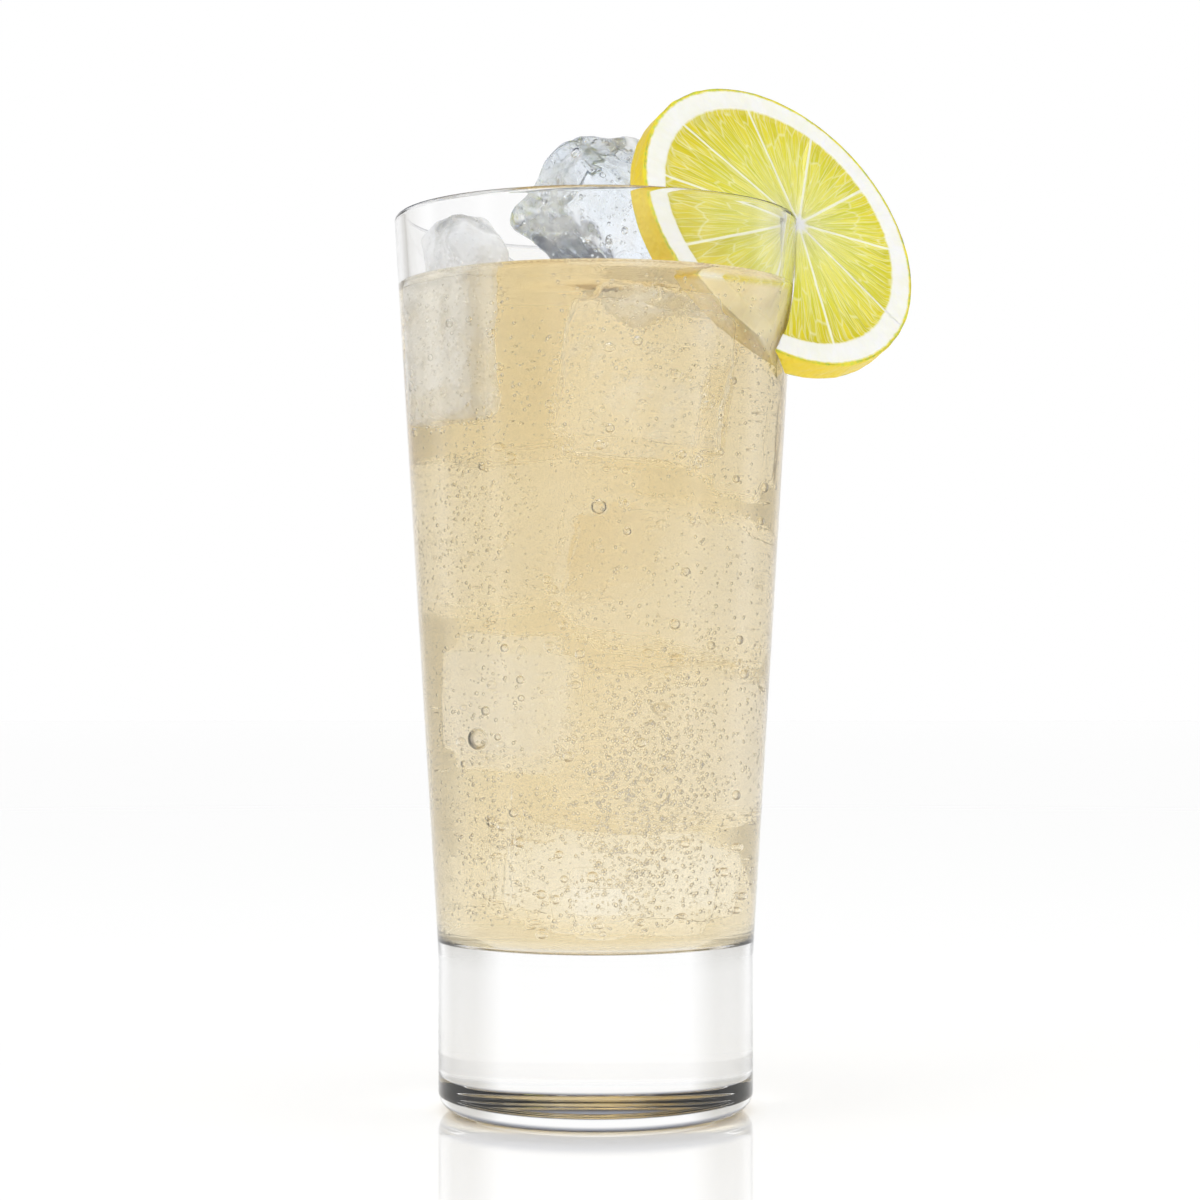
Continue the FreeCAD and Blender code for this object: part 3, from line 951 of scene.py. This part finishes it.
bpy.context.scene.collection.objects.link(slice_object)
cut = slice_object.modifiers.new("slit", "BOOLEAN")
cut.operation = "DIFFERENCE"
cut.solver = "MANIFOLD"
cut.object = knife
slit_slice = slice_object.evaluated_get(bpy.context.evaluated_depsgraph_get())
wheel_mesh = bpy.data.meshes.new_from_object(slit_slice)
bpy.data.objects.remove(slice_object)
bpy.data.objects.remove(knife)
wheel_mesh.materials.clear()
back_to_flat = wheel_place.inverted()
sac_values = []
rind_values = []
skin_values = []
soaked_values = []
for vertex in wheel_mesh.vertices:
    spot = back_to_flat @ vertex.co
    turn = math.degrees(math.atan2(spot.y - core_across, spot.x - core_along))
    reach = math.hypot(spot.y - core_across, spot.x - core_along)
    sac_values += [reach / MM, (turn - skin_turns[0]) % 360.0, spot.z / MM]
    rind_values.append((wheel_radius - math.hypot(spot.x, spot.y)) / MM)
    skin_values.append(skin_gap(turn, reach) / MM)
    within = math.hypot(vertex.co.x, vertex.co.y) < inner_radius(vertex.co.z)
    soaked_values.append(smooth_step(0.0, soak_width, level - vertex.co.z) if within else 0.0)
wheel_mesh.attributes.new("sac", "FLOAT_VECTOR", "POINT").data.foreach_set("vector", sac_values)
wheel_mesh.attributes.new("from_rind", "FLOAT", "POINT").data.foreach_set("value", rind_values)
wheel_mesh.attributes.new("from_skin", "FLOAT", "POINT").data.foreach_set("value", skin_values)
wheel_mesh.attributes.new("soaked", "FLOAT", "POINT").data.foreach_set("value", soaked_values)
lemon_finish, make = new_finish("fresh_lemon")
juicy_streak = (0.92, 0.91, 0.48, 1.0)
sac_edge = (0.93, 0.92, 0.55, 1.0)
skin_white = (0.95, 0.95, 0.74, 1.0)
deep_rind = (0.86, 0.60, 0.004, 1.0)
bright_rind = (0.90, 0.74, 0.02, 1.0)
soaked_tone = (0.91, 0.80, 0.50, 1.0)
place = make("ShaderNodeTexCoord").outputs["Object"]
sac = make("ShaderNodeAttribute", {"attribute_name": "sac"}).outputs["Vector"]
from_rind = make("ShaderNodeAttribute", {"attribute_name": "from_rind"}).outputs["Fac"]
from_skin = make("ShaderNodeAttribute", {"attribute_name": "from_skin"}).outputs["Fac"]
soaked = make("ShaderNodeAttribute", {"attribute_name": "soaked"}).outputs["Fac"]
parts = make("ShaderNodeSeparateXYZ", Vector=sac).outputs
squashed = make("ShaderNodeMapping", Vector=sac, Scale=(0.14, 0.26, 0.0)).outputs[0]
cells = make("ShaderNodeTexVoronoi", {"feature": "DISTANCE_TO_EDGE", "voronoi_dimensions": "2D"},
             Vector=squashed, Scale=1.0, Randomness=1.0).outputs["Distance"]
cell_tone = make("ShaderNodeTexVoronoi", {"feature": "F1", "voronoi_dimensions": "2D"},
                 Vector=squashed, Scale=1.0, Randomness=1.0).outputs["Color"]
stretched = make("ShaderNodeMapping", Vector=sac, Scale=(0.10, 0.9, 0.0)).outputs[0]
streaks = make("ShaderNodeTexNoise", {"noise_dimensions": "2D"}, Vector=stretched, Scale=1.0, Detail=3.0,
               Roughness=0.6).outputs["Fac"]
toward_core = ramp(make, sums(make, "DIVIDE", parts[0], 26.0), (
    (0.05, (0.86, 0.85, 0.36)),
    (0.30, (0.82, 0.80, 0.16)),
    (0.62, (0.78, 0.74, 0.055)),
    (0.92, (0.76, 0.66, 0.022)),
))
tone = ramp(make, cell_tone, ((0.2, (0.90, 0.92, 0.80)), (0.8, (1.06, 1.04, 1.25))))
flesh = blend(make, 1.0, toward_core, tone, "MULTIPLY")
flesh = blend(make, ramp(make, streaks, ((0.50, 0.0), (0.74, 0.7))), flesh, juicy_streak)
flesh = blend(make, ramp(make, cells, ((0.0, 0.55), (0.07, 0.0))), flesh, sac_edge)
flesh = blend(make, ramp(make, from_skin, ((0.14, 1.0), (0.34, 0.0))), flesh, skin_white)
waver = make("ShaderNodeTexNoise", Vector=place, Scale=700.0, Detail=2.0).outputs["Fac"]
rim_share = sums(make, "DIVIDE", sums(make, "MULTIPLY_ADD", waver, 0.5, from_rind), 10.0)
pith_mask = ramp(make, rim_share, ((0.455, 1.0), (0.500, 0.0)))
core_mask = ramp(make, sums(make, "DIVIDE", parts[0], 10.0), ((0.10, 1.0), (0.24, 0.0)))
white = sums(make, "MAXIMUM", pith_mask, core_mask)
pith_grain = make("ShaderNodeTexNoise", Vector=place, Scale=260.0, Detail=4.0).outputs["Fac"]
pith = ramp(make, pith_grain, ((0.3, (0.93, 0.93, 0.80)), (0.65, (0.97, 0.97, 0.92))))
cut_face = blend(make, white, flesh, pith)
glands = make("ShaderNodeTexVoronoi", {"feature": "F1"}, Vector=place, Scale=900.0,
              Randomness=0.9).outputs["Distance"]
gland_dots = ramp(make, glands, ((0.25, (0.62, 0.70, 0.05)), (0.55, (0.86, 0.74, 0.02))))
shade = make("ShaderNodeTexNoise", Vector=place, Scale=45.0, Detail=2.0).outputs["Fac"]
rind = blend(make, shade, deep_rind, bright_rind)
off_middle = sums(make, "DIVIDE", sums(make, "ABSOLUTE", parts[2]), 3.0)
peel = blend(make, ramp(make, off_middle, ((0.68, 1.0), (0.76, 0.0))), gland_dots, rind)
rind_mask = ramp(make, rim_share, ((0.085, 1.0), (0.125, 0.0)))
colour = blend(make, rind_mask, cut_face, peel)
colour = blend(make, sums(make, "MULTIPLY", soaked, 0.97), colour, soaked_tone)
pores = make("ShaderNodeTexVoronoi", {"feature": "SMOOTH_F1"}, Vector=place, Scale=1000.0,
             Smoothness=0.5).outputs["Distance"]
bulges = sums(make, "MULTIPLY", cells, 0.9)
uneven = make("ShaderNodeMix", {"data_type": "FLOAT"}, i0=rind_mask, i2=bulges, i3=pores).outputs[0]
relief = make("ShaderNodeBump", Height=uneven, Strength=0.55, Distance=0.0004).outputs[0]
dullness = make("ShaderNodeMix", {"data_type": "FLOAT"}, i0=white, i2=0.18, i3=0.55).outputs[0]
skin = make("ShaderNodeBsdfPrincipled", Base_Color=colour, Roughness=dullness, Normal=relief,
            Subsurface_Weight=0.35, Subsurface_Radius=(1.0, 0.9, 0.35), Subsurface_Scale=0.0015,
            Coat_Weight=0.3, Coat_Roughness=0.1)
make("ShaderNodeOutputMaterial", Surface=skin.outputs[0])
for face in wheel_mesh.polygons:
    face.use_smooth = True
    face.material_index = 0
add_piece("lemon_slice", wheel_mesh, lemon_finish, "lemon", "lemon_wheel")
